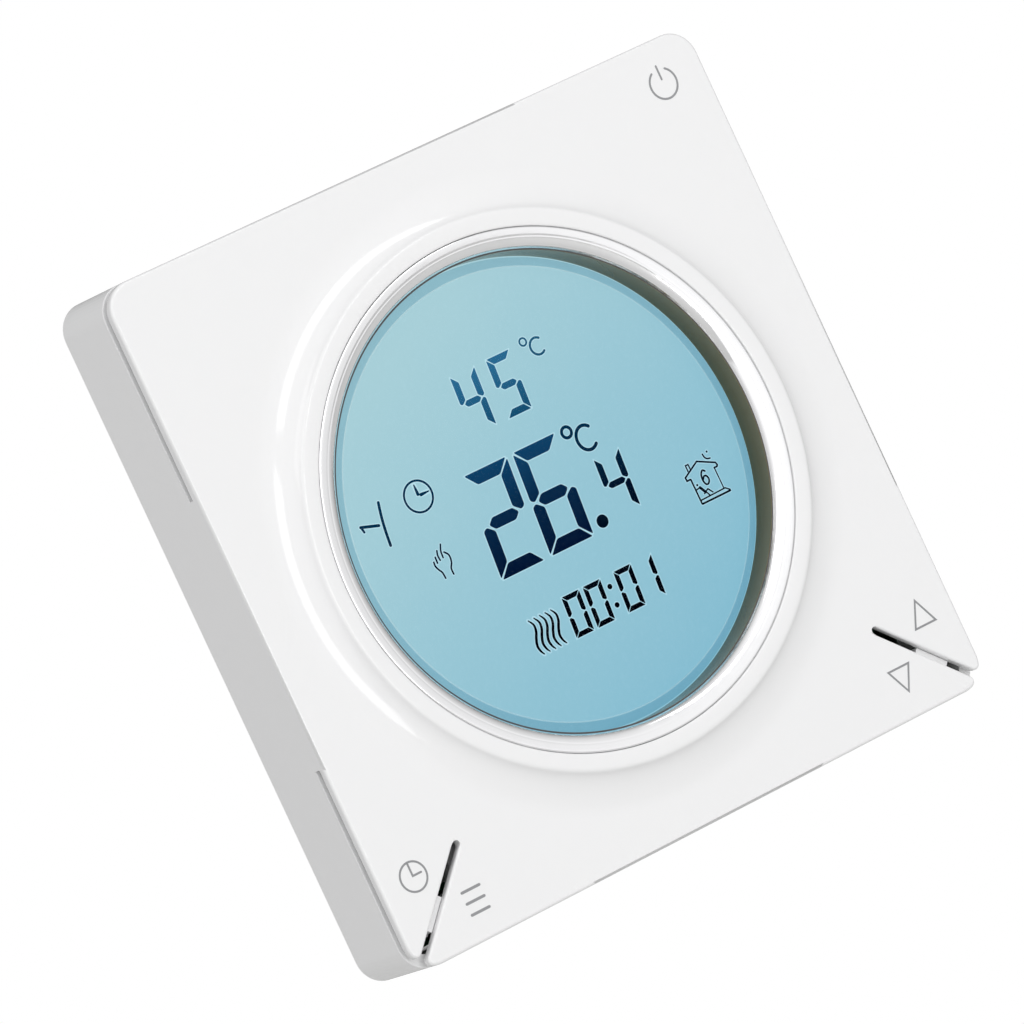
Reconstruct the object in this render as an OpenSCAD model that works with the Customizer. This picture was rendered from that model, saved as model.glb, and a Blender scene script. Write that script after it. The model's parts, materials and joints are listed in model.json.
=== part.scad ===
// Wall thermostat for an 86 mm wall box: a square front unit with a round
// display and flexing corner keys, plugged on a steel frame with a rear
// power box. X is right, Z is up, Y points into the wall. The origin lies on
// the wall face, at the centre of the two wall screws. Heights written h_*
// are measured out of the wall, so h = -y.

/* [Housing] */
// Width and height of the square front
face_w = 86; // [86:0.5:88]
// Height of the front face above the wall
face_h = 13.5; // [13.3:0.1:14]
// Corner radius of the front
corner_r = 3.5; // [2.5:0.5:4.5]
// Thickness of the face plate
plate_t = 1.2; // [1:0.1:1.4]
// Thickness of the side walls
skirt_t = 1.6; // [1.4:0.1:1.8]
// Gap between the wall and the rear edge of the skirt
skirt_gap = 0.3; // [0.1:0.1:0.5]
// Height of the raised ring around the display above the face
bead_rise = 1.6; // [1.4:0.1:1.8]
// Outer radius of the raised ring
bead_r = 38.7; // [38.4:0.1:39]

/* [Display] */
// Inner radius of the chrome bezel
bezel_in_r = 28.6; // [28.5:0.1:28.7]
// Outer radius of the chrome bezel
bezel_out_r = 31.2; // [31:0.1:31.4]
// Thickness of the clear window
lens_t = 1.9; // [1.5:0.1:2]
// Width of the bevel round the clear window
lens_bevel = 1.9; // [1.5:0.1:2]
// Size of the square display glass
glass_w = 60; // [59:0.5:60]
// Thickness of the light guide
guide_t = 2; // [1.6:0.1:2]

/* [Keys] */
// Distance from a corner to the end of its key
key_leg = 26; // [25:0.5:27]
// Inner end of the slit between two keys, from the centre
slit_in = 31.2; // [31:0.1:31.5]
// Width of the slit
slit_w = 0.9; // [0.7:0.1:1]
// Gap at the flexing line of a key
flex_gap = 0.2; // [0.15:0.05:0.25]
// Height of the open slot under a key
slot_h = 1; // [0.9:0.1:1.1]

/* [Boards] */
// Width of the control board
board_w = 82; // [81:0.5:82]
// Thickness of the control board
board_t = 1.2; // [1:0.1:1.2]
// Side of a key switch
switch_w = 4.5; // [4:0.1:4.5]

/* [Rear unit] */
// Width of the steel mounting frame
frame_w = 76; // [74:1:78]
// Thickness of the steel mounting frame
frame_t = 1; // [0.8:0.1:1]
// Distance between the two wall screws
screw_spacing = 60; // [60:0.1:60.6]
// Width of a wall screw slot
screw_slot_w = 4.2; // [4:0.1:4.6]
// End-to-end length of a wall screw slot
screw_slot_l = 8; // [6:0.5:8]
// Width and height of the power box
box_w = 50; // [50:0.5:51]
// Depth of the power box behind the wall face
box_d = 25.5; // [25:0.5:28]
// Number of terminals
terminals = 7; // [5:1:7]
// Distance between terminals
terminal_pitch = 6.2; // [5.8:0.1:6.2]

/* [Hidden] */
$fn = 64;
half = face_w / 2;
key_in = half - key_leg;
h_under = face_h - plate_t;
h_slot = h_under - slot_h;
in_half = half - skirt_t;
h_board = 5.6;
h_board_back = h_board - board_t;
h_lcd = 9.95;
glass_t = 1;
h_guide = h_lcd - 2 * glass_t - 0.05;
box_wall = 1.6;
box_y1 = 13;
box_z1 = -9.8;
boss_at = 38.4;
hdr_z = 14;
pins = [for (i = [-2:2]) for (j = [-0.5, 0.5]) [i * 2.54, hdr_z + j * 2.54]];
tray_h0 = 2.2;
tray_h1 = 3.2;
screw_c = 21.2;
corners = [[1, 1], [-1, 1], [1, -1], [-1, -1]];
sw_power = [36.5, 36.5];
sw_up = [38.4, -33.6];
sw_down = [33.6, -38.4];
sw_clock = [-38.4, -33.6];
sw_mode = [-33.6, -38.4];
switches = [sw_power, sw_up, sw_down, sw_clock, sw_mode];
term_x = [for (i = [0:terminals - 1]) (i - (terminals - 1) / 2) * terminal_pitch];

// ---- helpers -------------------------------------------------------------

// Extrudes a drawing in X and Z between two heights above the wall.
module slab(h0, h1) {
    translate([0, -h0, 0]) rotate([90, 0, 0]) linear_extrude(height = h1 - h0) children();
}

// Turns a profile of radius and height about the axis through the display.
module turn(fn = 96) {
    rotate([90, 0, 0]) rotate_extrude($fn = fn) children();
}

// Round peg standing out of the wall between two heights.
module peg(p, h0, h1, r) {
    translate([p[0], -h0, p[1]]) rotate([90, 0, 0]) cylinder(r = r, h = h1 - h0);
}

// Rectangle with round corners.
module rsq(w, h, r) {
    square([w - 2 * r, h], center = true);
    square([w, h - 2 * r], center = true);
    for (c = corners) translate([c[0] * (w / 2 - r), c[1] * (h / 2 - r)]) circle(r = r);
}

// Block given by its ranges along X, Z and height above the wall.
module block(x0, x1, z0, z1, h0, h1) {
    translate([x0, -h1, z0]) cube([x1 - x0, h1 - h0, z1 - z0]);
}

// ---- outline of the keys -------------------------------------------------

// Area of a whole corner of the face, outside its flexing lines.
module corner_area(split, gap) {
    g = gap * 1.4142;
    if (split)
        polygon([[key_in + gap * 1.3, half + 4], [key_in + gap * 1.3, half],
            [slit_in + g, slit_in + g], [half, key_in + gap * 1.3],
            [half + 4, key_in + gap * 1.3], [half + 4, half + 4]]);
    else
        polygon([[key_in + g, half + 4], [key_in + g, half], [half, key_in + g],
            [half + 4, key_in + g], [half + 4, half + 4]]);
}

// Plate of one of the two keys that share a corner; sx and sz say which
// corner, and swap picks the key along the lower edge.
module key_plate(sx, sz, swap) {
    slab(h_under, face_h) intersection() {
        rsq(face_w, face_w, corner_r);
        scale([sx, sz]) difference() {
            corner_area(true, flex_gap);
            // the slit, and everything on the other side of it
            polygon(swap
                ? [[0, slit_w * 0.7071], [90, 90 + slit_w * 0.7071], [90, -1], [0, -1]]
                : [[slit_w * 0.7071, 0], [90 + slit_w * 0.7071, 90], [-1, 90], [-1, 0]]);
        }
    }
}

// ---- front unit ----------------------------------------------------------

module bead_profile() {
    top = face_h + bead_rise;
    polygon(concat(
        [[29.9, h_under], [29.9, 13.75], [bezel_out_r + 0.05, 13.75],
            [bezel_out_r + 0.05, top - 0.2]],
        [for (a = [0:15:90]) [bezel_out_r + 0.45 - 0.4 * cos(a), top - 0.2 + 0.2 * sin(a)]],
        // crown, steep rim, then a hollow that runs out into the face
        [[33.1, top], [33.55, top - 0.2], [33.9, top - 0.5], [34.3, top - 0.76],
            [35, top - 1.06], [36, top - 1.33], [37.1, top - 1.5], [bead_r, face_h]],
        [[bead_r, h_under]]));
}

module front_cover() {
    color("white") difference() {
        union() {
            difference() {
                union() {
                    slab(skirt_gap, face_h) rsq(face_w, face_w, corner_r);
                    turn() polygon([[0, h_under], [0, face_h + 0.2], [30, face_h + 0.2], [30, h_under]]);
                }
                slab(-1, h_under) rsq(in_half * 2, in_half * 2, 1.9);
                turn() polygon([[0, 0], [0, 20], [36, 20], [36, 0]]);
            }
            difference() {
                turn() bead_profile();
                slab(-1, h_under) square(90, center = true);
            }
            // bosses that carry the control board
            for (p = [[boss_at, 0], [-boss_at, 0], [0, boss_at], [0, -boss_at]])
                difference() {
                    peg(p, h_board, h_under + 0.4, 2.3);
                    peg(p, h_board - 1, h_board + 5, 0.8);
                }
            // ribs behind the slits
            for (s = [-1, 1]) slab(5.8, h_slot - 0.1) scale([s, 1])
                polygon([[36.6, -37.45], [37.45, -36.6], [39.7, -38.85], [38.85, -39.7]]);
        }
        // slots in the side walls, round every corner
        for (c = corners) slab(h_slot, h_under) scale([c[0], c[1]])
            translate([key_in, key_in]) square(key_leg + 4);
        // the corners of the face that are keys
        slab(h_under - 0.01, 20) {
            corner_area(false, 0);
            scale([1, -1]) corner_area(true, 0);
            scale([-1, -1]) corner_area(true, 0);
        }
        // air slots under the temperature sensor
        for (i = [0:4]) block(6.5 + i * 2.4, 7.6 + i * 2.4, -half - 1, -half + 4, 3.5, 10);
        // air slots above the control board
        for (i = [0:4]) block(6.5 + i * 2.4, 7.6 + i * 2.4, half - 2.5, half + 1, 3.5, 10);
    }
}

module chrome_bezel() {
    top = face_h + bead_rise - 0.1;
    color("silver") turn() polygon([[bezel_in_r, h_lcd + 0.05], [bezel_in_r, top - 1.02],
        [bezel_in_r + 0.18, top - 0.75], [bezel_in_r + 0.35, top - 0.53], [bezel_in_r + 0.55, top - 0.36],
        [bezel_in_r + 0.8, top - 0.23], [bezel_in_r + 1.2, top - 0.14], [bezel_in_r + 1.5, top - 0.08],
        [bezel_out_r - 0.15, top], [bezel_out_r, top - 0.2], [bezel_out_r, 13.75],
        [bezel_in_r + 0.9, 13.75], [bezel_in_r + 0.9, h_lcd + 0.05]]);
}

module display_lens() {
    color([0.85, 0.95, 0.98, 0.35]) turn() polygon([[0, h_lcd + 0.02], [0, h_lcd + 0.02 + lens_t],
        [bezel_in_r - 0.1 - lens_bevel, h_lcd + 0.02 + lens_t], [bezel_in_r - 0.1, h_lcd + 0.35],
        [bezel_in_r - 0.1, h_lcd + 0.02]]);
}

module dust_seal() {
    color("dimgray") turn() polygon([[29.7, 10.85], [31.7, 10.85], [31.7, h_under], [29.95, h_under], [29.7, 12]]);
}

module lcd_glass() {
    g = glass_w / 2;
    color([0.6, 0.8, 0.85]) union() {
        block(-g, g, -g, g, h_lcd - glass_t, h_lcd);
        block(-g, g, -g - 3, g, h_lcd - 2 * glass_t, h_lcd - glass_t);
    }
}

module backlight_guide() {
    g = glass_w / 2 - 0.2;
    color([0.9, 0.96, 0.98]) difference() {
        block(-g, g, -g, g, h_guide - guide_t, h_guide);
        for (z = [-21, -7, 7, 21]) block(-g - 1, -g + 1.7, z - 1.8, z + 1.8, 0, h_guide + 1);
    }
}

module backlight_reflector() {
    g = glass_w / 2 - 0.2;
    color("white") block(-g + 1.9, g, -g, g, h_board + 0.02, h_board + 0.2);
}

module backlight_leds() {
    g = glass_w / 2 - 0.2;
    for (z = [-21, -7, 7, 21]) color("lightyellow")
        block(-g + 0.1, -g + 1.5, z - 1.6, z + 1.6, h_board, h_board + 1.4);
}

module lcd_frame() {
    g = glass_w / 2 + 0.2;
    color("gainsboro") difference() {
        block(-g - 2, g + 2, -g - 5, g + 2, h_board, 10.8);
        block(-g, g, -g - 3, g, h_board - 1, h_lcd + 0.03);
        turn() polygon([[0, 5], [29.75, 5], [29.75, 12], [0, 12]]);
    }
}

module zebra_strip() {
    color("pink") block(-28, 28, -32.7, -30.7, h_board, h_lcd - 2 * glass_t);
}

module control_board() {
    color("darkgreen") difference() {
        slab(h_board_back, h_board) rsq(board_w, board_w, 1.7);
        for (p = [[boss_at, 0], [-boss_at, 0], [0, boss_at], [0, -boss_at]]) peg(p, 0, 9, 1.1);
        // slot that keeps the sensor away from the warm board
        block(7.6, 16.4, -35.6, -34.8, 0, 9);
        block(7.6, 8.4, -37.6, -34.8, 0, 9);
        block(15.6, 16.4, -37.6, -34.8, 0, 9);
    }
}

module board_screws() {
    for (p = [[boss_at, 0], [-boss_at, 0], [0, boss_at], [0, -boss_at]])
        color("silver") difference() {
            union() {
                peg(p, 3.4, h_board_back, 1.8);
                peg(p, h_board_back, h_board + 4, 0.78);
            }
            translate([p[0], -3.8, p[1]]) for (a = [0, 90]) rotate([0, a, 0])
                translate([-1.2, 0, -0.2]) cube([2.4, 1, 0.4]);
        }
}

module switch_housings() {
    for (p = switches) color("dimgray") difference() {
        block(p[0] - switch_w / 2, p[0] + switch_w / 2, p[1] - switch_w / 2, p[1] + switch_w / 2, h_board, 9.1);
        peg(p, 8.6, 9.5, 1);
    }
}

module switch_covers() {
    s = switch_w / 2 - 0.05;
    for (p = switches) color("silver") difference() {
        block(p[0] - s, p[0] + s, p[1] - s, p[1] + s, 9.1, 9.4);
        peg(p, 8, 9.5, 1);
    }
}

module plunger(p) {
    color("black") union() {
        peg(p, 8.92, 10.15, 0.92);
        peg(p, 10.1, 10.3, 0.75);
    }
}

module plunger_power() { plunger(sw_power); }
module plunger_up() { plunger(sw_up); }
module plunger_down() { plunger(sw_down); }
module plunger_clock() { plunger(sw_clock); }
module plunger_mode() { plunger(sw_mode); }

// Post behind a key that reaches its switch.
module key_post(p) { peg(p, 10.4, h_under + 0.3, 1.2); }

module key_power() {
    color("white") union() {
        slab(h_under, face_h) intersection() {
            rsq(face_w, face_w, corner_r);
            corner_area(false, flex_gap);
        }
        key_post(sw_power);
    }
}

module key_up() { color("white") union() { key_plate(1, -1, false); key_post(sw_up); } }
module key_down() { color("white") union() { key_plate(1, -1, true); key_post(sw_down); } }
module key_clock() { color("white") union() { key_plate(-1, -1, false); key_post(sw_clock); } }
module key_mode() { color("white") union() { key_plate(-1, -1, true); key_post(sw_mode); } }

module chip(x, z, w, d, legs, t) {
    color("black") union() {
        block(x - w / 2, x + w / 2, z - d / 2, z + d / 2, h_board_back - t, h_board_back - 0.08);
        for (i = [0:legs - 1]) for (s = [-1, 1]) {
            o = (i - (legs - 1) / 2) * (d - 1.4) / max(legs - 1, 1);
            block(x + s * (w / 2 + 0.4) - 0.5, x + s * (w / 2 + 0.4) + 0.5, z + o - 0.18, z + o + 0.18, h_board_back - 0.25, h_board_back);
        }
    }
}

module microcontroller() { chip(17, -10, 9, 10, 9, 1); }
module display_driver() { chip(-6, -20, 6, 12, 8, 1); }

module crystal() {
    color("silver") block(24.5, 27.7, -14, -9, h_board_back - 0.9, h_board_back);
}

module backup_cell() {
    color("silver") union() {
        peg([-20, 20], h_board_back - 1.6, h_board_back, 4.75);
        peg([-20, 20], h_board_back - 2.05, h_board_back - 1.6, 4.2);
    }
}

module temperature_sensor() {
    color("black") union() {
        translate([12, -7.8, -38.6]) sphere(r = 1.1);
        for (s = [-1, 1]) peg([12 + s * 0.6, -38.6], h_board, 7.6, 0.22);
    }
}

module socket_header() {
    color("black") difference() {
        block(-6.7, 6.7, hdr_z - 2.7, hdr_z + 2.7, 0.7, h_board_back);
        for (p = pins) block(p[0] - 0.45, p[0] + 0.45, p[1] - 0.45, p[1] + 0.45, 0, 4.2);
    }
}

module back_tray() {
    color("whitesmoke") difference() {
        union() {
            slab(tray_h0, tray_h1) rsq(in_half * 2 - 0.4, in_half * 2 - 0.4, 1.7);
            // feet that hold the tray off the board
            for (c = corners) peg([c[0] * 28, c[1] * 27], tray_h1 - 0.2, h_board_back, 1.6);
            // tongues that plug into the mounting frame
            for (c = corners) block(c[0] * 20 - 2.5, c[0] * 20 + 2.5, c[1] * 33.5 - 0.6, c[1] * 33.5 + 0.6, 0.15, tray_h0 + 0.2);
        }
        block(-7.6, 7.6, hdr_z - 3.6, hdr_z + 3.6, 0, 4);
        for (s = [-1, 1]) slab(0, 4) translate([s * 30, 0]) rsq(15, 9.6, 2);
        peg([-20, 20], 0, 4, 5.4);
        // air slots
        for (i = [0:4]) block(-26, -14, -22 + i * 3.4, -20.4 + i * 3.4, 0, 4);
    }
}

// ---- rear unit -----------------------------------------------------------

module mounting_frame() {
    color("lightgray") difference() {
        slab(0, frame_t) rsq(frame_w, frame_w, 4);
        block(-8.2, 8.2, hdr_z - 4.2, hdr_z + 4.2, -1, 2);
        for (s = [-1, 1]) slab(-1, 2) translate([s * screw_spacing / 2, 0]) {
            square([screw_slot_l - screw_slot_w, screw_slot_w], center = true);
            for (e = [-1, 1]) translate([e * (screw_slot_l - screw_slot_w) / 2, 0]) circle(r = screw_slot_w / 2);
        }
        for (s = [-1, 1]) peg([0, s * 32], -1, 2, 2.1);
        for (c = corners) {
            peg([c[0] * screw_c, c[1] * screw_c], -1, 2, 1.1);
            block(c[0] * 20 - 3, c[0] * 20 + 3, c[1] * 33.5 - 1.1, c[1] * 33.5 + 1.1, -1, 2);
        }
    }
}

module power_box() {
    b = box_w / 2;
    i = b - box_wall;
    color("whitesmoke") difference() {
        union() {
            difference() {
                union() {
                    translate([-b, 0, -b]) cube([2 * b, box_y1, 2 * b]);
                    translate([-b, 0, box_z1]) cube([2 * b, box_d, b - box_z1]);
                }
                translate([-i, -1, -i]) cube([2 * i, box_y1 - box_wall + 1, 2 * i]);
                translate([-i, -1, box_z1 + box_wall]) cube([2 * i, box_d - box_wall + 1, i - box_z1 - box_wall]);
            }
            // columns for the screws
            for (c = corners) translate([c[0] * (i - 2) - 2.2, 0, c[1] * (i - 2) - 2.2]) cube([4.4, 10, 4.4]);
        }
        for (c = corners) peg([c[0] * screw_c, c[1] * screw_c], -9, 1, 0.9);
        // holes for the terminal pins
        for (x = term_x) translate([x - 0.6, 10, -20.2]) cube([1.2, 4, 1.2]);
        // air slots in the back
        for (k = [-3:3]) translate([k * 5 - 0.7, box_d - 3, -2]) cube([1.4, 4, 18]);
    }
}

module box_screws() {
    for (c = corners) {
        p = [c[0] * screw_c, c[1] * screw_c];
        color("silver") difference() {
            union() {
                peg(p, frame_t, frame_t + 0.8, 1.9);
                peg(p, -7, frame_t, 0.88);
            }
            translate([p[0], -frame_t - 0.9, p[1]]) for (a = [0, 90]) rotate([0, a, 0])
                translate([-1.3, 0, -0.2]) cube([2.6, 0.5, 0.4]);
        }
    }
}

module power_board() {
    b = box_w / 2 - box_wall - 0.3;
    color("darkgreen") difference() {
        translate([-b, 2, -b]) cube([2 * b, 1.6, 2 * b]);
        for (c = corners) translate([c[0] * b - 5.1, 1, c[1] * b - 5.1]) cube([10.2, 4, 10.2]);
        for (p = pins) translate([p[0] - 0.4, 1, p[1] - 0.4]) cube([0.8, 4, 0.8]);
    }
}

module pin_header() {
    color("black") difference() {
        block(-6.35, 6.35, hdr_z - 2.54, hdr_z + 2.54, -2, 0.5);
        for (p = pins) block(p[0] - 0.32, p[0] + 0.32, p[1] - 0.32, p[1] + 0.32, -3, 2);
    }
    for (p = pins) color("gold") block(p[0] - 0.32, p[0] + 0.32, p[1] - 0.32, p[1] + 0.32, -3.6, 3.6);
}

module relay() {
    color("navy") difference() {
        translate([-18.4, 3.6, 2.8]) cube([18.8, 15.2, 15.4]);
        translate([-17.4, 18.4, 3.8]) cube([16.8, 1, 13.4]);
    }
}

module transformer_core() {
    color("black") difference() {
        translate([4.4, 4.6, -7.4]) cube([13.2, 10, 12.2]);
        translate([6.4, 4, -4.9]) cube([2.6, 12, 7.2]);
        translate([13, 4, -4.9]) cube([2.6, 12, 7.2]);
    }
}

module transformer_coil() {
    color("gold") difference() {
        union() {
            translate([6.5, 4.7, -4.8]) cube([9, 9.6, 7]);
            translate([6.5, 3.6, -4.8]) cube([9, 1.1, 7]);
        }
        translate([9, 3, -8]) cube([4, 13, 13]);
    }
}

module supply_capacitor() {
    color("yellow") translate([2.4, 3.6, 13.2]) cube([15.6, 11, 5]);
}

module smoothing_capacitor() {
    color("midnightblue") difference() {
        translate([12, 3.6, 9]) rotate([-90, 0, 0]) cylinder(r = 3.9, h = 12);
        translate([12, 5.2, 9]) rotate([-90, 0, 0]) rotate_extrude() translate([4.1, 0]) circle(r = 0.5, $fn = 24);
    }
}

module varistor() {
    color("royalblue") union() {
        translate([-13.7, 8.6, -3.4]) rotate([0, 90, 0]) cylinder(r = 4, h = 3.4);
        for (s = [-1, 1]) translate([-12, 3.6, -3.4 + s * 2.5]) rotate([-90, 0, 0]) cylinder(r = 0.35, h = 3);
    }
}

module fuse() {
    color("tan") union() {
        translate([-7, 5.8, -4]) rotate([0, 90, 0]) cylinder(r = 1.7, h = 7);
        for (x = [-7.9, 0.9]) {
            translate([x, 3.6, -4]) rotate([-90, 0, 0]) cylinder(r = 0.3, h = 2.5);
        }
        translate([-8.2, 5.8, -4]) rotate([0, 90, 0]) cylinder(r = 0.3, h = 9.4);
    }
}

module rectifier() {
    color("black") translate([-3.2, 3.6, -16.4]) cube([6.4, 3.2, 4.8]);
}

module terminal_block() {
    w = terminals * terminal_pitch + 1;
    color("seagreen") difference() {
        translate([-w / 2, box_y1, -24.7]) cube([w, 12, 13.2]);
        for (x = term_x) {
            translate([x - 1.95, 14.6, -25.7]) cube([3.9, 6.4, 10]);
            translate([x, 20, -19.6]) rotate([-90, 0, 0]) cylinder(r = 2, h = 6);
            translate([x - 0.6, 12, -20.2]) cube([1.2, 4, 1.2]);
        }
    }
}

module terminal_clamps() {
    for (x = term_x) color("gold") difference() {
        union() {
            translate([x - 1.85, 14.7, -22.6]) cube([3.7, 6.2, 6]);
            translate([x - 0.45, 3.6, -20.05]) cube([0.9, 11.6, 0.9]);
        }
        translate([x - 1.25, 15.7, -23]) cube([2.5, 3.6, 7]);
        translate([x, 18, -19.6]) rotate([-90, 0, 0]) cylinder(r = 1, h = 4);
    }
}

module terminal_screws() {
    for (x = term_x) color("silver") difference() {
        union() {
            translate([x, 18, -19.6]) rotate([-90, 0, 0]) cylinder(r = 0.98, h = 4.2);
            translate([x, 22, -19.6]) rotate([-90, 0, 0]) cylinder(r = 1.85, h = 1.8);
        }
        translate([x - 2, 23.1, -19.85]) cube([4, 1, 0.5]);
    }
}

front_cover();
chrome_bezel();
display_lens();
dust_seal();
lcd_glass();
backlight_guide();
backlight_reflector();
backlight_leds();
lcd_frame();
zebra_strip();
control_board();
board_screws();
switch_housings();
switch_covers();
microcontroller();
display_driver();
crystal();
backup_cell();
temperature_sensor();
socket_header();
back_tray();
key_power();
key_up();
key_down();
key_clock();
key_mode();
plunger_power();
plunger_up();
plunger_down();
plunger_clock();
plunger_mode();
mounting_frame();
power_box();
box_screws();
power_board();
pin_header();
relay();
transformer_core();
transformer_coil();
supply_capacitor();
smoothing_capacitor();
varistor();
fuse();
rectifier();
terminal_block();
terminal_clamps();
terminal_screws();
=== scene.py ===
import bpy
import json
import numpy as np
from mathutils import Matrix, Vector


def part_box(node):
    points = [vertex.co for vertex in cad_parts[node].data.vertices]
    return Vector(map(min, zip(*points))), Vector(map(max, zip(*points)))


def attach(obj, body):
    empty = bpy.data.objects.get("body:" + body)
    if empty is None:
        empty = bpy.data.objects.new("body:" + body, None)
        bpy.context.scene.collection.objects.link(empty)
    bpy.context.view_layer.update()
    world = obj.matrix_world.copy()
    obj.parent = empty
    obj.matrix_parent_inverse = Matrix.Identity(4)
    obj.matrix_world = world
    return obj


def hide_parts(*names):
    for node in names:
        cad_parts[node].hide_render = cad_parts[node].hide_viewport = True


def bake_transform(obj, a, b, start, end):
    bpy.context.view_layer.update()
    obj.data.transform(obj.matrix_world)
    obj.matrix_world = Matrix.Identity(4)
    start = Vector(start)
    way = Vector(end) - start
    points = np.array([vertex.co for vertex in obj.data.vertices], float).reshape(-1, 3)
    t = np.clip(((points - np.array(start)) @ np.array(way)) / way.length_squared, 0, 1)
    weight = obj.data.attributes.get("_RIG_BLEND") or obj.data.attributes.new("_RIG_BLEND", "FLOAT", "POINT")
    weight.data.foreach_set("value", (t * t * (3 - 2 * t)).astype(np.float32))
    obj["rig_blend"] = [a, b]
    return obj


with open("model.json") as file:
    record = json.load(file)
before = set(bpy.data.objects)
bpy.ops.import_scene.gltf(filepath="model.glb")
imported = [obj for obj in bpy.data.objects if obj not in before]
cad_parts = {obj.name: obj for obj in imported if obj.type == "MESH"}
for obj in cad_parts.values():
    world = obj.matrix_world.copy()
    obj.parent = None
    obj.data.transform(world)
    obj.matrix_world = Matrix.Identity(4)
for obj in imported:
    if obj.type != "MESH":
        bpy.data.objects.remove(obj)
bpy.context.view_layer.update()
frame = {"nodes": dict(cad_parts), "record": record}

import json
import math

import bmesh
import bpy
from mathutils import Matrix, Vector

MM = 0.001
scene = bpy.context.scene
scene.view_settings.view_transform = "Standard"
NODE_BODY = {n: b for b, ns in frame["record"]["behaviour"]["bodies"].items() for n in ns}

# ---------------------------------------------------------------- sizes, from the frame
lo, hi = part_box("front_cover")
HALF = hi.x / MM                                   # half the width of the front
FACE = -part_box("key_power")[0].y / MM              # height of the face above the wall
UNDER = 12.3 if FACE < 13.6 else FACE - 1.2        # underside of the face plate
CORNER_R = 3.5
RF = 0.38                                          # rounding of the outer edge of the face
BEZEL_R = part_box("chrome_bezel")[1].x / MM         # outer radius of the bezel
BEZEL_TOP = -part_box("chrome_bezel")[0].y / MM
BEAD_TOP = -lo.y / MM
LENS_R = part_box("display_lens")[1].x / MM
LENS0 = -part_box("display_lens")[1].y / MM
LENS1 = -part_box("display_lens")[0].y / MM
LCD = -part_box("lcd_glass")[0].y / MM               # front of the display glass
KEY_IN = 17.0                                      # where a key starts along an edge
SLIT_IN = 31.2
SLIT_W = 0.9
SLOT0, SLOT1 = UNDER - 1.0, UNDER                  # open slot under a key


def P(x, h, z):
    return Vector((x * MM, -h * MM, z * MM))


# ---------------------------------------------------------------- materials
def material(name):
    m = bpy.data.materials.new(name)
    m.use_nodes = True
    nt = m.node_tree
    return m, nt, nt.nodes["Principled BSDF"]


def coords(nt):
    return nt.nodes.new("ShaderNodeTexCoord").outputs["Object"]


def noise(nt, scale, detail=3.0, rough=0.5, vec=None, distortion=0.0):
    n = nt.nodes.new("ShaderNodeTexNoise")
    n.inputs["Scale"].default_value = scale
    n.inputs["Detail"].default_value = detail
    n.inputs["Roughness"].default_value = rough
    n.inputs["Distortion"].default_value = distortion
    nt.links.new(vec if vec is not None else coords(nt), n.inputs["Vector"])
    return n.outputs["Fac"]


def ramp(nt, fac, stops):
    r = nt.nodes.new("ShaderNodeValToRGB")
    e = r.color_ramp.elements
    while len(e) < len(stops):
        e.new(0.5)
    for i, (p, c) in enumerate(stops):
        e[i].position = p
        e[i].color = (c[0], c[1], c[2], 1.0)
    nt.links.new(fac, r.inputs["Fac"])
    return r.outputs["Color"]


def maprange(nt, fac, a, b, c, d):
    r = nt.nodes.new("ShaderNodeMapRange")
    for k, v in zip(("From Min", "From Max", "To Min", "To Max"), (a, b, c, d)):
        r.inputs[k].default_value = v
    nt.links.new(fac, r.inputs["Value"])
    return r.outputs["Result"]


def bump(nt, fac, distance, strength=1.0, normal=None):
    b = nt.nodes.new("ShaderNodeBump")
    b.inputs["Distance"].default_value = distance
    b.inputs["Strength"].default_value = strength
    nt.links.new(fac, b.inputs["Height"])
    if normal is not None:
        nt.links.new(normal, b.inputs["Normal"])
    return b.outputs["Normal"]


def tint(nt, base, vary, scale, detail=4.0):
    a = tuple(max(0.0, c * (1 - vary)) for c in base)
    b = tuple(min(1.0, c * (1 + vary)) for c in base)
    return ramp(nt, noise(nt, scale, detail), [(0.3, a), (0.7, b)])


def plastic(name, base, rough=0.35, grain=2600.0, depth=0.000004, vary=0.012, coat=0.0, spread=0.05, spec=0.5):
    m, nt, b = material(name)
    nt.links.new(tint(nt, base, vary, 90.0), b.inputs["Base Color"])
    nt.links.new(maprange(nt, noise(nt, 420.0, 5.0), 0.3, 0.7, rough - spread, rough + spread), b.inputs["Roughness"])
    nt.links.new(bump(nt, noise(nt, grain, 4.0, 0.6), depth, 0.35), b.inputs["Normal"])
    b.inputs["Specular IOR Level"].default_value = spec
    if coat:
        b.inputs["Coat Weight"].default_value = coat
        b.inputs["Coat Roughness"].default_value = 0.07
    return m


def metal(name, base, rough=0.25, vary=0.05, grain=900.0, stretch=(1, 1, 1), depth=0.000004):
    m, nt, b = material(name)
    mp = nt.nodes.new("ShaderNodeMapping")
    mp.inputs["Scale"].default_value = stretch
    nt.links.new(coords(nt), mp.inputs["Vector"])
    v = mp.outputs["Vector"]
    n = noise(nt, grain, 5.0, 0.6, v)
    a = tuple(c * (1 - vary) for c in base)
    nt.links.new(ramp(nt, n, [(0.3, a), (0.7, base)]), b.inputs["Base Color"])
    b.inputs["Metallic"].default_value = 1.0
    nt.links.new(maprange(nt, n, 0.3, 0.7, max(0.02, rough - 0.08), rough + 0.08), b.inputs["Roughness"])
    nt.links.new(bump(nt, n, depth, 0.4), b.inputs["Normal"])
    return m


def srgb(r, g, b):
    f = lambda c: (c / 255 / 12.92) if c <= 10 else (((c / 255) + 0.055) / 1.055) ** 2.4
    return (f(r), f(g), f(b))


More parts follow.
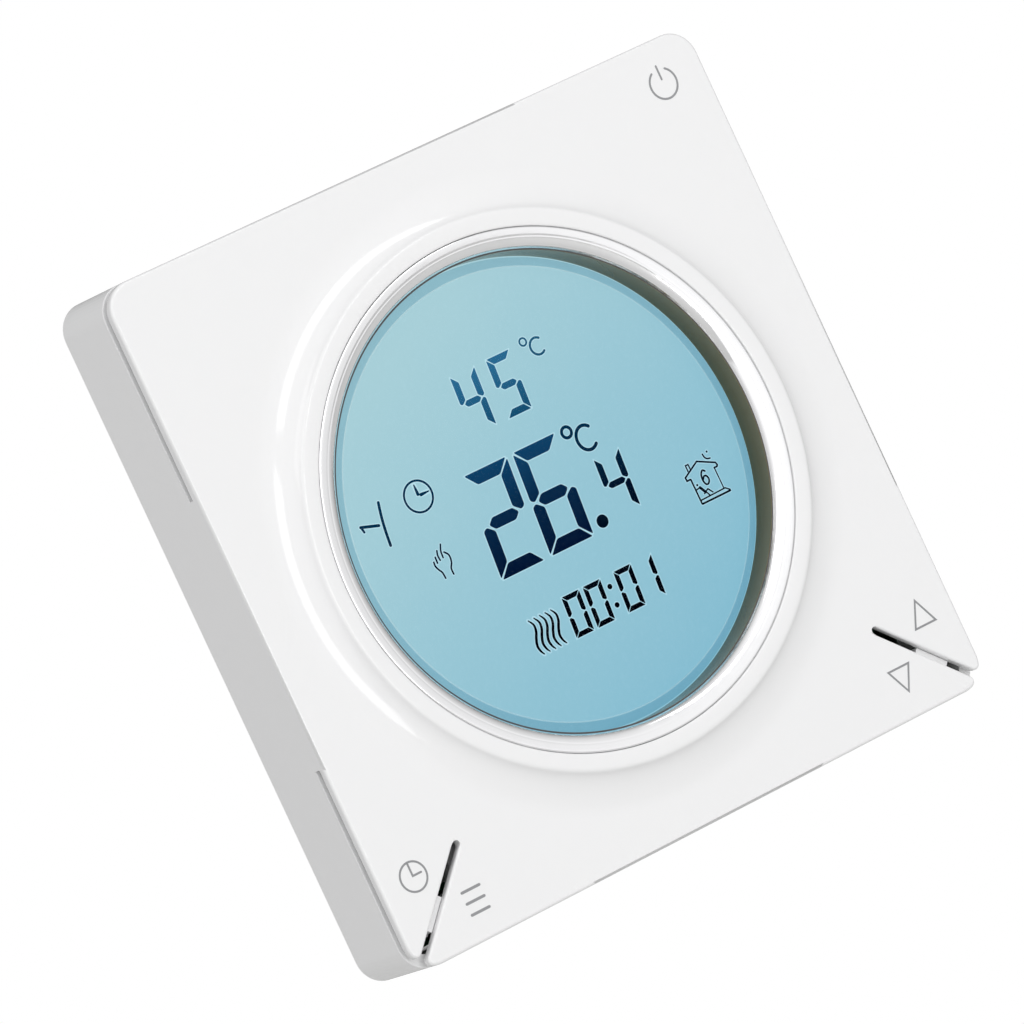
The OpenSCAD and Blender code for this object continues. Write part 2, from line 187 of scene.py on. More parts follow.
M_WHITE = plastic("white_shell", (0.80, 0.80, 0.805), rough=0.42, grain=2400.0, depth=0.000002, vary=0.002, coat=0.9, spec=0.2)
M_INNER = plastic("white_inner", (0.62, 0.62, 0.63), rough=0.5, grain=1800.0, depth=0.000006, vary=0.01)
M_TRAY = plastic("tray_plastic", (0.72, 0.72, 0.71), rough=0.5, grain=1500.0, depth=0.00001, vary=0.015)
M_BOX = plastic("box_plastic", (0.70, 0.70, 0.67), rough=0.46, grain=1300.0, depth=0.000012, vary=0.02)
M_BLACK = plastic("black_plastic", (0.018, 0.018, 0.02), rough=0.42, grain=1600.0, depth=0.000008, vary=0.2)
M_GREY = plastic("grey_plastic", (0.42, 0.43, 0.44), rough=0.45, grain=1600.0, depth=0.000008, vary=0.03)
M_PRINT = plastic("printed_grey", srgb(140, 141, 143), rough=0.55, grain=5200.0, depth=0.000004, vary=0.05)
M_GREEN = plastic("terminal_green", (0.045, 0.24, 0.10), rough=0.4, grain=1500.0, depth=0.000008, vary=0.05)
M_BLUE = plastic("relay_blue", (0.02, 0.06, 0.26), rough=0.36, grain=1500.0, depth=0.000008, vary=0.06)
M_YELLOW = plastic("film_yellow", (0.72, 0.50, 0.06), rough=0.38, grain=1500.0, depth=0.000008, vary=0.05)
M_TAPE = plastic("coil_tape", (0.72, 0.53, 0.10), rough=0.5, grain=1200.0, depth=0.00002, vary=0.1)
M_TAN = plastic("fuse_ceramic", (0.55, 0.43, 0.28), rough=0.6, grain=1500.0, depth=0.00001, vary=0.1)
M_VARI = plastic("varistor_coat", (0.03, 0.12, 0.42), rough=0.3, grain=700.0, depth=0.00003, vary=0.12)
M_SLEEVE = plastic("sleeve_blue", (0.02, 0.035, 0.10), rough=0.25, grain=900.0, depth=0.000006, vary=0.1)
M_FOAM = plastic("seal_foam", (0.015, 0.015, 0.015), rough=0.9, grain=1100.0, depth=0.00006, vary=0.4)
M_PINK = plastic("contact_rubber", (0.55, 0.26, 0.24), rough=0.7, grain=1600.0, depth=0.00002, vary=0.08)
M_FERRITE = plastic("ferrite", (0.03, 0.03, 0.033), rough=0.65, grain=1000.0, depth=0.00002, vary=0.25)
M_FILM = plastic("reflector_film", (0.85, 0.85, 0.86), rough=0.4, grain=2600.0, depth=0.000003, vary=0.01)
M_LED = plastic("led_body", (0.75, 0.68, 0.32), rough=0.4, grain=2000.0, depth=0.000004, vary=0.05)
# painted shadow: dark ring on the bezel lip standing for the shadow gap at the window
M_LIP_SHADOW_LINE = plastic("lip_painted_shadow", (0.05, 0.05, 0.055), rough=0.5, grain=2600.0, depth=0.000003, vary=0.1)
M_STEEL = metal("galvanised", (0.60, 0.61, 0.62), rough=0.36, vary=0.16, grain=240.0)
M_SCREW = metal("screw_zinc", (0.66, 0.67, 0.68), rough=0.26, vary=0.1, grain=1500.0)
M_CAN = metal("can_steel", (0.70, 0.71, 0.72), rough=0.2, vary=0.08, grain=900.0)
M_GOLD = metal("gold_pins", (0.86, 0.62, 0.22), rough=0.22, vary=0.08, grain=1500.0)
M_BRASS = metal("brass_clamp", (0.78, 0.58, 0.26), rough=0.28, vary=0.12, grain=1200.0)
M_CHROME = metal("bezel_chrome", (0.93, 0.93, 0.94), rough=0.11, vary=0.02, grain=700.0, depth=0.0000005)


def board_material():
    m, nt, b = material("board_green")
    v = coords(nt)
    br = nt.nodes.new("ShaderNodeTexBrick")
    br.inputs["Scale"].default_value = 1.0
    br.inputs["Brick Width"].default_value = 0.0042
    br.inputs["Row Height"].default_value = 0.0011
    br.inputs["Mortar Size"].default_value = 0.00012
    br.inputs["Mortar Smooth"].default_value = 0.3
    br.offset = 0.37
    mp = nt.nodes.new("ShaderNodeMapping")
    mp.inputs["Rotation"].default_value = (math.radians(90), 0, 0)
    nt.links.new(v, mp.inputs["Vector"])
    nt.links.new(mp.outputs["Vector"], br.inputs["Vector"])
    br.inputs["Color1"].default_value = (0.012, 0.10, 0.045, 1)
    br.inputs["Color2"].default_value = (0.014, 0.115, 0.05, 1)
    br.inputs["Mortar"].default_value = (0.03, 0.20, 0.09, 1)
    nt.links.new(br.outputs["Color"], b.inputs["Base Color"])
    nt.links.new(bump(nt, br.outputs["Fac"], 0.00002, 0.5), b.inputs["Normal"])
    nt.links.new(maprange(nt, noise(nt, 300.0), 0.3, 0.7, 0.25, 0.4), b.inputs["Roughness"])
    return m


M_BOARD = board_material()


def display_painted_glow_material(name, upper, lower, scale=1.0):
    """Display glass with painted light: a self-lit glow in place of the light that falls on it, with painted shade
    making it fall off down and to the right.
    """
    m, nt, b = material(name)
    v = coords(nt)
    # painted shade: the glow darkens down and to the right along this direction
    d = nt.nodes.new("ShaderNodeVectorMath")
    d.operation = "DOT_PRODUCT"
    d.inputs[1].default_value = (0.45, 0.0, -0.9)
    nt.links.new(v, d.inputs[0])
    n = noise(nt, 55.0, 3.0)
    add = nt.nodes.new("ShaderNodeMath")
    add.operation = "MULTIPLY_ADD"
    add.inputs[1].default_value = 0.012
    nt.links.new(n, add.inputs[0])
    nt.links.new(d.outputs["Value"], add.inputs[2])
    f = maprange(nt, add.outputs[0], -0.020, 0.036, 0.0, 1.0)
    col = ramp(nt, f, [(0.0, upper), (1.0, lower)])
    b.inputs["Base Color"].default_value = (0.01, 0.016, 0.018, 1)
    nt.links.new(maprange(nt, noise(nt, 1400.0), 0.3, 0.7, 0.22, 0.3), b.inputs["Roughness"])
    b.inputs["Specular IOR Level"].default_value = 0.1
    nt.links.new(col, b.inputs["Emission Color"])
    b.inputs["Emission Strength"].default_value = scale
    return m


# painted light: the display colours are a self-lit glow with painted shade; the rim copy is darker painted shade, the
# halo copy a brighter painted glow round the segments
M_LCD_PAINTED_GLOW = display_painted_glow_material("display_painted_glow", srgb(167, 205, 213), srgb(131, 186, 206))
M_RIM_PAINTED_SHADE = display_painted_glow_material("display_rim_painted_shade", srgb(128, 192, 210), srgb(104, 168, 194))
M_HALO = display_painted_glow_material("segment_halo", srgb(188, 222, 231), srgb(160, 205, 222))


def shaded_ink_material(name, stops):
    """Dark liquid-crystal segments, self-lit, with painted light that makes them lighter towards the top and painted
    shade that makes them darker towards the bottom.
    """
    m, nt, b = material(name)
    s = nt.nodes.new("ShaderNodeSeparateXYZ")
    nt.links.new(coords(nt), s.inputs[0])
    f = maprange(nt, s.outputs["Z"], -0.018, 0.018, 0.0, 1.0)
    # painted light and shade: the ink colour gets lighter upwards and darker downwards
    col = ramp(nt, f, [((z + 18) / 36, c) for z, c in stops])
    fleck = noise(nt, 2600.0, 3.0)
    mix = nt.nodes.new("ShaderNodeMix")
    mix.data_type = "RGBA"
    nt.links.new(maprange(nt, fleck, 0.5, 0.8, 0.0, 0.05), mix.inputs["Factor"])
    nt.links.new(col, mix.inputs["A"])
    mix.inputs["B"].default_value = (0.05, 0.16, 0.24, 1)
    b.inputs["Base Color"].default_value = (0.0, 0.0, 0.0, 1)
    b.inputs["Specular IOR Level"].default_value = 0.0
    nt.links.new(maprange(nt, fleck, 0.3, 0.7, 0.3, 0.45), b.inputs["Roughness"])
    nt.links.new(mix.outputs["Result"], b.inputs["Emission Color"])
    b.inputs["Emission Strength"].default_value = 1.0
    return m


M_INK_PAINTED_LIGHT = shaded_ink_material("segment_ink_painted_light", [(-16, srgb(0, 0, 10)), (-10, srgb(0, 9, 32)), (-6, srgb(1, 18, 49)), (0, srgb(4, 37, 69)),
                                     (5.5, srgb(12, 62, 100)), (10, srgb(22, 78, 112)), (16, srgb(42, 105, 144))])
M_ICON_INK_PAINTED_LIGHT = shaded_ink_material("icon_ink_painted_light", [(-14, srgb(0, 0, 6)), (-8, srgb(0, 8, 22)), (-3, srgb(0, 13, 36)), (4, srgb(1, 40, 68)), (8, srgb(2, 48, 78)), (17, srgb(36, 92, 122))])


def window_material():
    m, nt, b = material("window_clear")
    b.inputs["Base Color"].default_value = (0.97, 0.99, 1.0, 1)
    b.inputs["Transmission Weight"].default_value = 1.0
    b.inputs["IOR"].default_value = 1.07
    nt.links.new(maprange(nt, noise(nt, 500.0), 0.3, 0.7, 0.0, 0.03), b.inputs["Roughness"])
    return m


def window_edge(name, base, rough, clear):
    """Ground edge of the window: clear, but tinted and a little frosted; the pale, less clear copy paints a highlight
    along the top of the bevel.
    """
    m, nt, b = material(name)
    nt.links.new(tint(nt, base, 0.03, 400.0), b.inputs["Base Color"])
    b.inputs["Transmission Weight"].default_value = clear
    b.inputs["IOR"].default_value = 1.07
    nt.links.new(maprange(nt, noise(nt, 1500.0), 0.3, 0.7, rough - 0.05, rough + 0.05), b.inputs["Roughness"])
    return m


def guide_material():
    m, nt, b = material("guide_clear")
    nt.links.new(tint(nt, (0.80, 0.90, 0.93), 0.02, 200.0), b.inputs["Base Color"])
    b.inputs["Transmission Weight"].default_value = 0.6
    nt.links.new(maprange(nt, noise(nt, 900.0), 0.3, 0.7, 0.1, 0.25), b.inputs["Roughness"])
    return m


M_WINDOW = window_material()
M_WEDGE = window_edge("window_bevel", (0.47, 0.63, 0.72), 0.16, 0.97)
# painted highlight: a pale, less clear ring along the top edge of the window's bevel
M_WRIM_PAINTED_HIGHLIGHT = window_edge("window_bevel_painted_highlight", (0.90, 0.97, 1.0), 0.2, 0.84)
M_GUIDE = guide_material()


def wall_painted_shade_material():
    """Inside wall of the bezel: smoky and glossy, with painted shade that darkens it deeper in the recess, so it is a
    little lighter towards its rim.
    """
    m, nt, b = material("bezel_inner_painted_shade")
    s = nt.nodes.new("ShaderNodeSeparateXYZ")
    nt.links.new(coords(nt), s.inputs[0])
    n = noise(nt, 160.0, 4.0)
    a = nt.nodes.new("ShaderNodeMath")
    a.operation = "MULTIPLY_ADD"
    a.inputs[1].default_value = 0.0012
    nt.links.new(n, a.inputs[0])
    nt.links.new(s.outputs["Y"], a.inputs[2])
    # painted shade: darker with depth into the recess, lighter near the rim
    f = maprange(nt, a.outputs[0], -0.0132, -0.0096, 0.0, 1.0)
    nt.links.new(ramp(nt, f, [(0.0, (0.25, 0.18, 0.085)), (0.5, (0.175, 0.125, 0.050)), (1.0, (0.15, 0.115, 0.045))]), b.inputs["Base Color"])
    b.inputs["Metallic"].default_value = 0.35
    nt.links.new(maprange(nt, n, 0.3, 0.7, 0.16, 0.26), b.inputs["Roughness"])
    return m


M_WALL_PAINTED_SHADE = wall_painted_shade_material()

# ---------------------------------------------------------------- mesh helpers


def new_object(name, bm, mats):
    me = bpy.data.meshes.new(name)
    bm.to_mesh(me)
    bm.free()
    for m in mats:
        me.materials.append(m)
    ob = bpy.data.objects.new(name, me)
    scene.collection.objects.link(ob)
    return ob


def bake(ob):
    """Applies the modifiers to the mesh."""
    bpy.context.view_layer.update()
    dg = bpy.context.evaluated_depsgraph_get()
    me = bpy.data.meshes.new_from_object(ob.evaluated_get(dg), preserve_all_data_layers=True, depsgraph=dg)
    ob.modifiers.clear()
    old = ob.data
    ob.data = me
    bpy.data.meshes.remove(old)
    return ob


def smooth(ob, angle=35.0, weighted=True):
    ob.data.shade_smooth()
    ob.data.set_sharp_from_angle(angle=math.radians(angle))
    if weighted:
        w = ob.modifiers.new("w", "WEIGHTED_NORMAL")
        w.keep_sharp = True
        w.weight = 80
        bake(ob)
    return ob


def bevel(ob, width, segments=2, angle=38.0, weights=False):
    b = ob.modifiers.new("b", "BEVEL")
    b.width = width * MM
    b.segments = segments
    b.use_clamp_overlap = True
    if weights:
        b.limit_method = "WEIGHT"
    else:
        b.limit_method = "ANGLE"
        b.angle_limit = math.radians(angle)
    b.harden_normals = False
    return bake(ob)


def clean_copy(node, dissolve=0.6):
    """bmesh copy of a CAD node with its flat faces whole again."""
    bm = bmesh.new()
    bm.from_mesh(frame["nodes"][node].data)
    for f in bm.faces:
        f.material_index = 0
    bmesh.ops.remove_doubles(bm, verts=bm.verts, dist=1.5e-6)
    bmesh.ops.dissolve_degenerate(bm, dist=1e-7, edges=bm.edges)
    bmesh.ops.recalc_face_normals(bm, faces=bm.faces)
    bmesh.ops.dissolve_limit(bm, angle_limit=math.radians(dissolve), verts=bm.verts, edges=bm.edges)
    for l in (bm.loops.layers.uv, bm.loops.layers.color):
        for layer in list(l.values()):
            l.remove(layer)
    return bm


def place(ob, node_or_body, *nodes):
    if nodes:
        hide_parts(*nodes)
    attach(ob, NODE_BODY.get(node_or_body, node_or_body))
    return ob


def soften(node, mats, width=0.15, segments=2, paint=None, angle=38.0, dissolve=0.6):
    """A CAD node rebuilt with rounded edges."""
    bm = clean_copy(node, dissolve)
    ob = new_object(node + "_body", bm, mats if isinstance(mats, list) else [mats])
    bevel(ob, width, segments, angle)
    if paint:
        for p in ob.data.polygons:
            p.material_index = paint(p)
    smooth(ob, 40)
    return place(ob, node, node)


def ring_faces(bm, rings, closed_v=False, mat=0):
    """Quads between consecutive rings of vertices; each ring is closed."""
    out = []
    n = len(rings[0])
    pairs = list(zip(rings, rings[1:])) + ([(rings[-1], rings[0])] if closed_v else [])
    for a, b in pairs:
        for i in range(n):
            f = bm.faces.new((a[i], a[(i + 1) % n], b[(i + 1) % n], b[i]))
            f.material_index = mat
            out.append(f)
    return out


def lathe(name, profile, mats, n=256, closed=True, mat_of=None, centre=(0, 0)):
    """Turned solid about the axis through the display. profile: (r, h) in mm."""
    bm = bmesh.new()
    rings = []
    for r, h in profile:
        if r < 1e-6:
            rings.append([bm.verts.new(P(centre[0], h, centre[1]))])
        else:
            rings.append([bm.verts.new(P(centre[0] + r * math.cos(2 * math.pi * i / n), h, centre[1] + r * math.sin(2 * math.pi * i / n))) for i in range(n)])
    pairs = [(i, (i + 1) % len(rings)) for i in range(len(rings) if closed else len(rings) - 1)]
    for a, b in pairs:
        ra, rb = rings[a], rings[b]
        m = mat_of(a) if mat_of else 0
        if len(ra) == 1 and len(rb) == 1:
            continue
        for i in range(n):
            j = (i + 1) % n
            if len(ra) == 1:
                f = bm.faces.new((ra[0], rb[j], rb[i]))
            elif len(rb) == 1:
                f = bm.faces.new((ra[i], ra[j], rb[0]))
            else:
                f = bm.faces.new((ra[i], ra[j], rb[j], rb[i]))
            f.material_index = m
    bmesh.ops.recalc_face_normals(bm, faces=bm.faces)
    return new_object(name, bm, mats)


def prism(bm, pts, h0, h1, mat=0):
    """Closed prism on an outline of (x, z) in mm."""
    top = [bm.verts.new(P(x, h1, z)) for x, z in pts]
    bot = [bm.verts.new(P(x, h0, z)) for x, z in pts]
    fs = [bm.faces.new(top), bm.faces.new(list(reversed(bot)))]
    n = len(pts)
    for i in range(n):
        fs.append(bm.faces.new((top[i], bot[i], bot[(i + 1) % n], top[(i + 1) % n])))
    for f in fs:
        f.material_index = mat
    return fs


def disc(bm, x, z, r, h0, h1, n=40, mat=0):
    return prism(bm, [(x + r * math.cos(2 * math.pi * i / n), z + r * math.sin(2 * math.pi * i / n)) for i in range(n)], h0, h1, mat)


def spline(pts, per=8):
    """Smooth open line through points (Catmull-Rom)."""
    out = []
    q = [pts[0]] + list(pts) + [pts[-1]]
    for i in range(1, len(q) - 2):
        p0, p1, p2, p3 = q[i - 1], q[i], q[i + 1], q[i + 2]
        for k in range(per):
            t = k / per
            out.append(tuple(0.5 * ((2 * p1[a]) + (-p0[a] + p2[a]) * t + (2 * p0[a] - 5 * p1[a] + 4 * p2[a] - p3[a]) * t * t
                                    + (-p0[a] + 3 * p1[a] - 3 * p2[a] + p3[a]) * t ** 3) for a in (0, 1)))
    out.append(tuple(pts[-1]))
    return out


def ribbon(bm, pts, width, h0, h1, closed=False, taper=None, cap=True, mat=0):
    """Printed line of a given width along (x, z) points in mm, with round ends."""
    n = len(pts)
    left, right = [], []
    for i, (x, z) in enumerate(pts):
        if closed:
            a, b = pts[i - 1], pts[(i + 1) % n]
        else:
            a, b = pts[max(i - 1, 0)], pts[min(i + 1, n - 1)]
        d1 = Vector((x - a[0], z - a[1]))
        d2 = Vector((b[0] - x, b[1] - z))
        if d1.length < 1e-9:
            d1 = d2
        if d2.length < 1e-9:
            d2 = d1
        d1.normalize(); d2.normalize()
        d = (d1 + d2).normalized() if (d1 + d2).length > 1e-6 else d1
        k = 1.0 / max(0.5, math.sqrt(max(0.0, (1 + d1.dot(d2)) / 2)))
        w = (width if taper is None else width * taper(i / max(n - 1, 1))) / 2 * k
        left.append((x - d.y * w, z + d.x * w))
        right.append((x + d.y * w, z - d.x * w))
    if closed:
        tl = [bm.verts.new(P(x, h1, z)) for x, z in left]
        tr = [bm.verts.new(P(x, h1, z)) for x, z in right]
        bl = [bm.verts.new(P(x, h0, z)) for x, z in left]
        br = [bm.verts.new(P(x, h0, z)) for x, z in right]
        for i in range(n):
            j = (i + 1) % n
            for q in ((tl[i], tl[j], tr[j], tr[i]), (bl[i], br[i], br[j], bl[j]), (tl[i], bl[i], bl[j], tl[j]), (tr[i], tr[j], br[j], br[i])):
                bm.faces.new(q).material_index = mat
        return
    # open line: one outline with round caps, then quads down its length
    steps = 6

    def cap_pts(c, a, b):
        ax = math.atan2(a[1] - c[1], a[0] - c[0])
        r = math.hypot(a[0] - c[0], a[1] - c[1])
        return [(c[0] + r * math.cos(ax - math.pi * k / steps), c[1] + r * math.sin(ax - math.pi * k / steps)) for k in range(1, steps)]

    tl = [bm.verts.new(P(x, h1, z)) for x, z in left]
    tr = [bm.verts.new(P(x, h1, z)) for x, z in right]
    bl = [bm.verts.new(P(x, h0, z)) for x, z in left]
    br = [bm.verts.new(P(x, h0, z)) for x, z in right]
    for i in range(n - 1):
        j = i + 1
        for q in ((tl[i], tl[j], tr[j], tr[i]), (bl[i], br[i], br[j], bl[j]), (tl[i], bl[i], bl[j], tl[j]), (tr[i], tr[j], br[j], br[i])):
            bm.faces.new(q).material_index = mat
    for end in (0, n - 1):
        a, b = (left[end], right[end]) if end else (right[end], left[end])
        ta, tb = (tl[end], tr[end]) if end else (tr[end], tl[end])
        ba, bb = (bl[end], br[end]) if end else (br[end], bl[end])
        if cap and math.hypot(a[0] - b[0], a[1] - b[1]) > 0.02:
            c = ((a[0] + b[0]) / 2, (a[1] + b[1]) / 2)
            mid = cap_pts(c, a, b)
            tm = [bm.verts.new(P(x, h1, z)) for x, z in mid]
            bmv = [bm.verts.new(P(x, h0, z)) for x, z in mid]
        else:
            tm, bmv = [], []
        t = [ta] + tm + [tb]
        u = [ba] + bmv + [bb]
        if tm:
            bm.faces.new(t).material_index = mat
            bm.faces.new(list(reversed(u))).material_index = mat
        for k in range(len(t) - 1):
            bm.faces.new((t[k], u[k], u[k + 1], t[k + 1])).material_index = mat


def circle_pts(x, z, r, n=48, rz=None, a0=0.0, a1=360.0, closed=True):
    rz = r if rz is None else rz
    k = n if closed else n + 1
    return [(x + r * math.cos(math.radians(a0 + (a1 - a0) * i / n)), z + rz * math.sin(math.radians(a0 + (a1 - a0) * i / n))) for i in range(k)]


def finish_flat(name, bm, mats):
    bmesh.ops.recalc_face_normals(bm, faces=bm.faces)
    ob = new_object(name, bm, mats)
    smooth(ob, 30)
    return ob


# ---------------------------------------------------------------- front shell
def on_line(p, q, a, tol=0.02):
    """Is point p on the line through q and a (x, z in mm)?"""
    d = Vector((a[0] - q[0], a[1] - q[1])).normalized()
    return abs(d.x * (p[1] - q[1]) - d.y * (p[0] - q[0])) < tol


C1 = (SLIT_IN + SLIT_W * 0.3536, -SLIT_IN - SLIT_W * 0.3536)
SEAMS = [((KEY_IN, HALF), (HALF, KEY_IN))]
for s in (1, -1):
    SEAMS += [((s * HALF, -KEY_IN), (s * SLIT_IN, -SLIT_IN)), ((s * KEY_IN, -HALF), (s * SLIT_IN, -SLIT_IN))]


def on_seam(p):
    return any(on_line(p, a, b) and min(a[0], b[0]) - 0.1 <= p[0] <= max(a[0], b[0]) + 0.1
               and min(a[1], b[1]) - 0.1 <= p[1] <= max(a[1], b[1]) + 0.1 for a, b in SEAMS)


def cutter(name, make):
    bm = bmesh.new()
    make(bm)
    bmesh.ops.recalc_face_normals(bm, faces=bm.faces)
    return new_object(name, bm, [])


def boolean(ob, tool, operation="DIFFERENCE"):
    b = ob.modifiers.new("x", "BOOLEAN")
    b.object = tool
    b.operation = operation
    b.solver = "EXACT"
    bake(ob)
    me = tool.data
    bpy.data.objects.remove(tool)
    bpy.data.meshes.remove(me)
    return ob


HOLE_R = 38.8


def outline(r=CORNER_R, half=HALF, n=14):
    """Rounded square, counter-clockwise, (x, z) in mm."""
    c = half - r
    out = []
    for k in range(4):
        for i in range(n + 1):
            t = math.radians(90 * k + 90 * i / n)
            sx = (1, -1, -1, 1)[k]
            sz = (1, 1, -1, -1)[k]
            out.append((sx * c + r * math.cos(t), sz * c + r * math.sin(t)))
    return out


def rounded_block(bm):
    """Everything inside the outer skin of the front, with its rounded rims."""
    rings = []
    base = 0.22
    for k in range(5):
        t = math.pi / 2 * k / 4
        rings.append((base * (1 - math.cos(t)), base * (1 - math.sin(t))))
    for k in range(7):
        t = math.pi / 2 * k / 6
        rings.append((FACE - RF * (1 - math.sin(t)), RF * (1 - math.cos(t))))
    rings[0] = (0.0, base)
    lo_part = [(base * (1 - math.cos(math.pi / 2 * k / 4)), base * (1 - math.sin(math.pi / 2 * k / 4))) for k in range(5)]
    hi_part = [(FACE - RF * (1 - math.sin(math.pi / 2 * k / 6)), inset(RF, RF * (1 - math.sin(math.pi / 2 * k / 6)))) for k in range(7)]
    rows = []
    for h, d in lo_part:
        rows.append((h - 0.0, d))
    for h, d in hi_part:
        rows.append((h, d))
    vr = []
    for h, d in rows:
        vr.append([bm.verts.new(P(x, h, z)) for x, z in outline(CORNER_R - d, HALF - d)])
    ring_faces(bm, vr)
    bm.faces.new(list(reversed(vr[0])))
    bm.faces.new(vr[-1])


def inset(r, d):
    return 0.0 if d >= r else r - math.sqrt(max(0.0, 2 * r * d - d * d))


def uv(sx, u, v):
    """Corner axes at the bottom: u out along the diagonal, v across it."""
    return (sx * (u + v) / math.sqrt(2), (-u + v) / math.sqrt(2))


shell = new_object("front_shell", clean_copy("front_cover"), [M_WHITE, M_INNER])
boolean(shell, cutter("t1", lambda bm: prism(bm, [(HOLE_R * math.cos(2 * math.pi * i / 256), HOLE_R * math.sin(2 * math.pi * i / 256)) for i in range(256)], 11.5, 20)))
U0 = SLIT_IN * math.sqrt(2)
for sx in (1, -1):
    # round inner end of the slit
    boolean(shell, cutter("t3", lambda bm: prism(bm, [uv(sx, U0 - 0.08, -0.45), uv(sx, U0 + 0.45, -0.45), uv(sx, U0 + 0.45, 0.45), uv(sx, U0 - 0.08, 0.45)], UNDER, FACE)), "UNION")
    boolean(shell, cutter("t4", lambda bm: prism(bm, [uv(sx, U0 + 0.45 + 0.45 * math.cos(2 * math.pi * i / 28), 0.45 * math.sin(2 * math.pi * i / 28)) for i in range(28)], UNDER - 0.4, 20)))
    # web behind the slit, standing up between the keys
    boolean(shell, cutter("t5", lambda bm: prism(bm, [uv(sx, 36.0 * math.sqrt(2), -0.39), uv(sx, 39.1 * math.sqrt(2), -0.39), uv(sx, 39.1 * math.sqrt(2), 0.39), uv(sx, 36.0 * math.sqrt(2), 0.39)], 11.0, 12.6)), "UNION")
boolean(shell, cutter("t6", rounded_block), "INTERSECT")
bm = bmesh.new()
bm.from_mesh(shell.data)
bmesh.ops.remove_doubles(bm, verts=bm.verts, dist=1e-6)
bmesh.ops.dissolve_limit(bm, angle_limit=math.radians(0.4), verts=bm.verts, edges=bm.edges)
bm.edges.layers.float.new("bevel_weight_edge")
wl = bm.edges.layers.float["bevel_weight_edge"]
for e in bm.edges:
    if len(e.link_faces) != 2:
        continue
    if e.calc_face_angle(0) < math.radians(40):
        continue
    vs = [(v.co.x / MM, -v.co.y / MM, v.co.z / MM) for v in e.verts]
    x, h, z = [(a + b) / 2 for a, b in zip(*vs)]
    outer = max(abs(x), abs(z)) > HALF - 1.1 or (abs(x) > HALF - CORNER_R and abs(z) > HALF - CORNER_R and math.hypot(abs(x) - HALF + CORNER_R, abs(z) - HALF + CORNER_R) > CORNER_R - 0.3)
    skin = all(max(abs(v[0]), abs(v[2])) > HALF - 0.02 or (abs(v[0]) > HALF - CORNER_R and abs(v[2]) > HALF - CORNER_R and math.hypot(abs(v[0]) - HALF + CORNER_R, abs(v[2]) - HALF + CORNER_R) > CORNER_R - 0.02) for v in vs)
    if skin and abs(vs[0][1] - SLOT0) < 0.03 and abs(vs[1][1] - SLOT0) < 0.03:
        e[wl] = 1.0
    elif skin and abs(vs[0][1] - SLOT1) < 0.03 and abs(vs[1][1] - SLOT1) < 0.03:
        e[wl] = 0.6
bm.to_mesh(shell.data)
bm.free()
bevel(shell, 0.15, 3, weights=True)
smooth(shell, 32)

# raised ring round the display, as one piece with the shell
def bead_profile():
    r0 = BEZEL_R + 0.06
    t = BEAD_TOP
    inner = [(r0, FACE + 0.2), (r0, t - 0.22), (r0 + 0.02, t - 0.14), (r0 + 0.08, t - 0.08), (r0 + 0.2, t - 0.05)]
    crest = [(r0 + 0.5, t - 0.028), (32.2, t - 0.006), (32.7, t), (33.05, t - 0.012), (33.22, t - 0.036), (33.34, t - 0.078), (33.44, t - 0.14), (33.54, t - 0.225)]
    # hollow run-out into the face, steep at the rim and level at the end
    slope = [(33.54, 49.0), (33.9, 36.0), (34.3, 26.5), (35.0, 19.0), (36.0, 13.0), (37.1, 8.0), (38.0, 3.6), (38.7, 0.0)]
    fine = []
    for (ra, ta), (rb, tb) in zip(slope, slope[1:]):
        for k in range(6):
            fine.append((ra + (rb - ra) * k / 6, ta + (tb - ta) * k / 6))
    fine.append(slope[-1])
    hs = [0.0]
    for (ra, ta), (rb, tb) in zip(fine, fine[1:]):
        hs.append(hs[-1] - (rb - ra) * math.tan(math.radians((ta + tb) / 2)))
    top, drop = crest[-1][1], -hs[-1]
    k = (top - FACE) / drop
    run = [(r, top + h * k) for (r, _), h in zip(fine, hs)][1:]
    return inner + crest + run + [(HOLE_R, FACE), (HOLE_R, UNDER), (r0, UNDER)]


bead = lathe("t2", bead_profile(), [M_WHITE, M_INNER], n=256)
smooth(bead, 35, weighted=False)
bpy.context.view_layer.update()
with bpy.context.temp_override(active_object=shell, selected_editable_objects=[shell, bead], object=shell, selected_objects=[shell, bead]):
    bpy.ops.object.join()
place(shell, "front_cover", "front_cover")

# ---------------------------------------------------------------- flexing corners
LEVELS = [(UNDER, 0.12), (UNDER + 0.035, 0.035), (UNDER + 0.12, 0.0)]


def offset_outline(pts, dist):
    """Each edge i (from pts[i] to pts[i+1]) moves inwards by dist[i]. pts run counter-clockwise."""
    n = len(pts)
    out = []
    for i in range(n):
        a, b, c = Vector(pts[i - 1]), Vector(pts[i]), Vector(pts[(i + 1) % n])
        d1, d2 = (b - a).normalized(), (c - b).normalized()
        n1, n2 = Vector((-d1.y, d1.x)), Vector((-d2.y, d2.x))
        p1, p2 = b + n1 * dist[i - 1], b + n2 * dist[i]
        den = d1.x * d2.y - d1.y * d2.x
        if abs(den) < 0.42:
            bis = (n1 + n2).normalized()
            out.append(tuple(b + bis * (dist[i - 1] + dist[i]) / 2 / max(0.8, bis.dot(n1))))
        else:
            t = ((p2 - p1).x * d2.y - (p2 - p1).y * d2.x) / den
            out.append(tuple(p1 + d1 * t))
    return out


